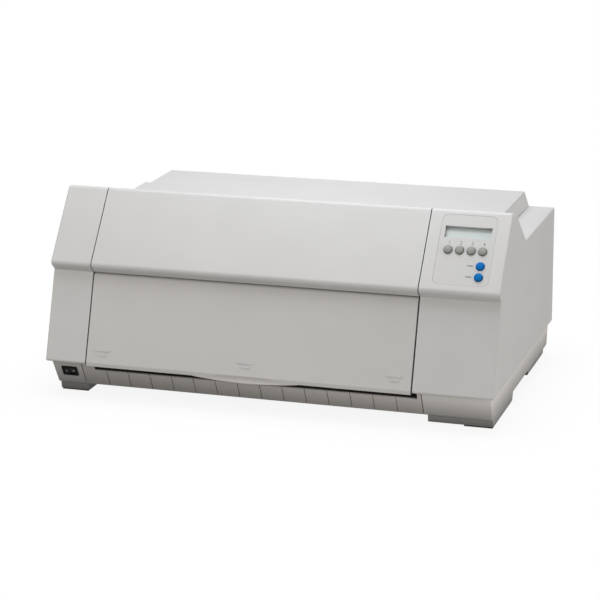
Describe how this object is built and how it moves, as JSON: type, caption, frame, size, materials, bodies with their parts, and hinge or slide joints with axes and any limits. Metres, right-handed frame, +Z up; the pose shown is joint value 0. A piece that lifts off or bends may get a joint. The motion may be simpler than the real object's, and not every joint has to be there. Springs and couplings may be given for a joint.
{
  "type": "dot matrix printer",
  "caption": "Wide-carriage serial dot matrix printer with an opening top cover, front paper door, lifting rear cover, key panel and a geared paper feed.",
  "frame": {"origin": "centre of the bounding box in plan, on the plane that the rubber foot pads stand on", "axes": "+X to the printer's right as seen from the front, along its width; +Y to the rear; +Z up"},
  "size_m": [0.59, 0.3594, 0.2577],
  "materials": {
    "housing_plastic": "fine texture",
    "base_plastic": "fine texture",
    "rubber": "matt",
    "bright_steel": "ground",
    "plated_steel": "zinc plated",
    "clear_window": "clear",
    "display": "smooth",
    "circuit_board": "lacquered",
    "grey_key": "smooth",
    "blue_key": "smooth",
    "black_plastic": "smooth",
    "white_acetal": "smooth",
    "brass": "machined",
    "motor_black": "satin",
    "dark_plastic": "smooth",
    "blue_plastic": "smooth",
    "cast_alloy": "cast",
    "cable": "smooth"
  },
  "bodies": {
    "housing": {"base_housing": "base_plastic", "foot_pads": "rubber", "front_paper_guide": "base_plastic", "upper_housing": "housing_plastic", "hinge_pins": "bright_steel", "panel_plate": "base_plastic", "display_window": "clear_window", "display_module": "display", "panel_board": "circuit_board", "switch_frame": "black_plastic", "left_side_frame": "plated_steel", "right_side_frame": "plated_steel", "shaft_bushes": "white_acetal", "feed_motor": "motor_black", "tractor_guide_shaft": "bright_steel", "paper_guide_plate": "plated_steel", "carriage_shaft": "bright_steel", "carriage_rail": "plated_steel", "carriage_motor": "motor_black", "carriage_belt": "rubber", "ribbon_cassette": "black_plastic", "ribbon": "black_plastic", "power_supply": "plated_steel", "main_board": "circuit_board", "power_inlet": "black_plastic", "housing_screws": "plated_steel"},
    "top_cover": {"top_cover": "housing_plastic"},
    "front_door": {"front_door": "housing_plastic"},
    "rear_cover": {"rear_cover": "housing_plastic"},
    "button_1": {"button_1": "grey_key"},
    "button_2": {"button_2": "grey_key"},
    "button_3": {"button_3": "grey_key"},
    "button_4": {"button_4": "grey_key"},
    "blue_button_upper": {"blue_button_upper": "blue_key"},
    "blue_button_lower": {"blue_button_lower": "blue_key"},
    "power_rocker": {"power_rocker": "black_plastic"},
    "platen": {"platen_roller": "rubber", "platen_shaft": "bright_steel", "platen_gear": "white_acetal"},
    "pressure_set": {"pressure_rollers": "rubber", "pressure_shaft": "bright_steel"},
    "idler_upper": {"idler_gear_upper": "white_acetal"},
    "idler_lower": {"idler_gear_lower": "white_acetal"},
    "tractor_shaft": {"tractor_gear": "white_acetal", "tractor_drive_shaft": "bright_steel"},
    "pinion": {"motor_pinion": "brass"},
    "left_tractor": {"left_tractor": "dark_plastic"},
    "right_tractor": {"right_tractor": "dark_plastic"},
    "left_pin_wheel": {"left_pin_wheel": "white_acetal"},
    "right_pin_wheel": {"right_pin_wheel": "white_acetal"},
    "left_lid": {"left_tractor_lid": "dark_plastic"},
    "right_lid": {"right_tractor_lid": "dark_plastic"},
    "left_lever": {"left_lock_lever": "blue_plastic"},
    "right_lever": {"right_lock_lever": "blue_plastic"},
    "carriage": {"carriage": "dark_plastic", "print_head": "cast_alloy", "head_cable": "cable"},
    "drive_pulley": {"drive_pulley": "white_acetal"},
    "idler_pulley": {"idler_pulley": "white_acetal"},
    "ribbon_knob": {"ribbon_knob": "blue_plastic"}
  },
  "joints": [
    {"name": "top_cover_hinge", "type": "hinge", "parent": "housing", "child": "top_cover", "pos_m": [0, -0.03925, 0.22167], "axis": [-1, 0, 0], "range_deg": [0, 65]},
    {"name": "front_door_hinge", "type": "hinge", "parent": "housing", "child": "front_door", "pos_m": [0, -0.13529, 0.1514], "axis": [-1, 0, 0], "range_deg": [0, 60]},
    {"name": "rear_cover_hinge", "type": "hinge", "parent": "housing", "child": "rear_cover", "pos_m": [0, 0.00167, 0.21495], "axis": [1, 0, 0], "range_deg": [0, 60]},
    {"name": "button_1_press", "type": "slide", "parent": "housing", "child": "button_1", "axis": [0, 0.7848, -0.6198], "range_m": [0, 0.0012], "stiffness_N_per_m": 300, "springref_m": -0.001},
    {"name": "button_2_press", "type": "slide", "parent": "housing", "child": "button_2", "axis": [0, 0.7848, -0.6198], "range_m": [0, 0.0012], "stiffness_N_per_m": 300, "springref_m": -0.001},
    {"name": "button_3_press", "type": "slide", "parent": "housing", "child": "button_3", "axis": [0, 0.7848, -0.6198], "range_m": [0, 0.0012], "stiffness_N_per_m": 300, "springref_m": -0.001},
    {"name": "button_4_press", "type": "slide", "parent": "housing", "child": "button_4", "axis": [0, 0.7848, -0.6198], "range_m": [0, 0.0012], "stiffness_N_per_m": 300, "springref_m": -0.001},
    {"name": "blue_button_upper_press", "type": "slide", "parent": "housing", "child": "blue_button_upper", "axis": [0, 0.7848, -0.6198], "range_m": [0, 0.0012], "stiffness_N_per_m": 300, "springref_m": -0.001},
    {"name": "blue_button_lower_press", "type": "slide", "parent": "housing", "child": "blue_button_lower", "axis": [0, 0.7848, -0.6198], "range_m": [0, 0.0012], "stiffness_N_per_m": 300, "springref_m": -0.001},
    {"name": "power_rocker_tilt", "type": "hinge", "parent": "housing", "child": "power_rocker", "pos_m": [-0.268, -0.1624, 0.03266], "axis": [0, -0.4446, 0.8957], "range_deg": [-14, 0]},
    {"name": "platen_spin", "type": "hinge", "parent": "housing", "child": "platen", "pos_m": [0, -0.003, 0.16], "axis": [1, 0, 0], "continuous": true},
    {"name": "pressure_spin", "type": "hinge", "parent": "housing", "child": "pressure_set", "pos_m": [0, -0.01757, 0.18081], "axis": [1, 0, 0], "continuous": true},
    {"name": "idler_upper_spin", "type": "hinge", "parent": "housing", "child": "idler_upper", "pos_m": [0.194, -0.03713, 0.1221], "axis": [1, 0, 0], "continuous": true},
    {"name": "idler_lower_spin", "type": "hinge", "parent": "housing", "child": "idler_lower", "pos_m": [0.194, -0.08748, 0.10259], "axis": [1, 0, 0], "continuous": true},
    {"name": "tractor_shaft_spin", "type": "hinge", "parent": "housing", "child": "tractor_shaft", "pos_m": [0, -0.10833, 0.067], "axis": [1, 0, 0], "continuous": true},
    {"name": "pinion_spin", "type": "hinge", "parent": "housing", "child": "pinion", "pos_m": [0.194, -0.06096, 0.07608], "axis": [1, 0, 0], "continuous": true},
    {"name": "left_tractor_slide", "type": "slide", "parent": "housing", "child": "left_tractor", "axis": [1, 0, 0], "range_m": [0, 0.06]},
    {"name": "right_tractor_slide", "type": "slide", "parent": "housing", "child": "right_tractor", "axis": [1, 0, 0], "range_m": [-0.28, 0]},
    {"name": "left_pin_wheel_spin", "type": "hinge", "parent": "left_tractor", "child": "left_pin_wheel", "pos_m": [-0.2135, -0.10833, 0.067], "axis": [1, 0, 0], "continuous": true},
    {"name": "right_pin_wheel_spin", "type": "hinge", "parent": "right_tractor", "child": "right_pin_wheel", "pos_m": [0.1665, -0.10833, 0.067], "axis": [1, 0, 0], "continuous": true},
    {"name": "left_lid_hinge", "type": "hinge", "parent": "left_tractor", "child": "left_lid", "pos_m": [-0.2205, -0.13329, 0.06764], "axis": [0, -0.8546, -0.5193], "range_deg": [0, 100]},
    {"name": "right_lid_hinge", "type": "hinge", "parent": "right_tractor", "child": "right_lid", "pos_m": [0.1735, -0.13329, 0.06764], "axis": [0, 0.8546, 0.5193], "range_deg": [0, 100]},
    {"name": "left_lever_turn", "type": "hinge", "parent": "left_tractor", "child": "left_lever", "pos_m": [-0.2255, -0.14251, 0.04623], "axis": [1, 0, 0], "range_deg": [0, 50]},
    {"name": "right_lever_turn", "type": "hinge", "parent": "right_tractor", "child": "right_lever", "pos_m": [0.1785, -0.14251, 0.04623], "axis": [1, 0, 0], "range_deg": [0, 50]},
    {"name": "carriage_slide", "type": "slide", "parent": "housing", "child": "carriage", "axis": [1, 0, 0], "range_m": [0, 0.344]},
    {"name": "drive_pulley_spin", "type": "hinge", "parent": "housing", "child": "drive_pulley", "pos_m": [-0.262, -0.091, 0.125], "axis": [0, 0, 1], "continuous": true},
    {"name": "idler_pulley_spin", "type": "hinge", "parent": "housing", "child": "idler_pulley", "pos_m": [0.178, -0.091, 0.125], "axis": [0, 0, 1], "continuous": true},
    {"name": "ribbon_knob_spin", "type": "hinge", "parent": "housing", "child": "ribbon_knob", "pos_m": [-0.211, -0.089, 0.197], "axis": [0, 0, 1], "continuous": true}
  ],
  "couplings": [
    {"joint": "pressure_spin", "follows": "platen_spin", "ratio": -2.125},
    {"joint": "idler_upper_spin", "follows": "platen_spin", "ratio": -0.88889},
    {"joint": "idler_lower_spin", "follows": "platen_spin", "ratio": 0.88889},
    {"joint": "tractor_shaft_spin", "follows": "platen_spin", "ratio": -1.6842},
    {"joint": "left_pin_wheel_spin", "follows": "platen_spin", "ratio": -1.6842},
    {"joint": "right_pin_wheel_spin", "follows": "platen_spin", "ratio": -1.6842},
    {"joint": "pinion_spin", "follows": "platen_spin", "ratio": -2.2857},
    {"joint": "drive_pulley_spin", "follows": "carriage_slide", "rad_per_m": -166.67},
    {"joint": "idler_pulley_spin", "follows": "carriage_slide", "rad_per_m": -166.67}
  ]
}
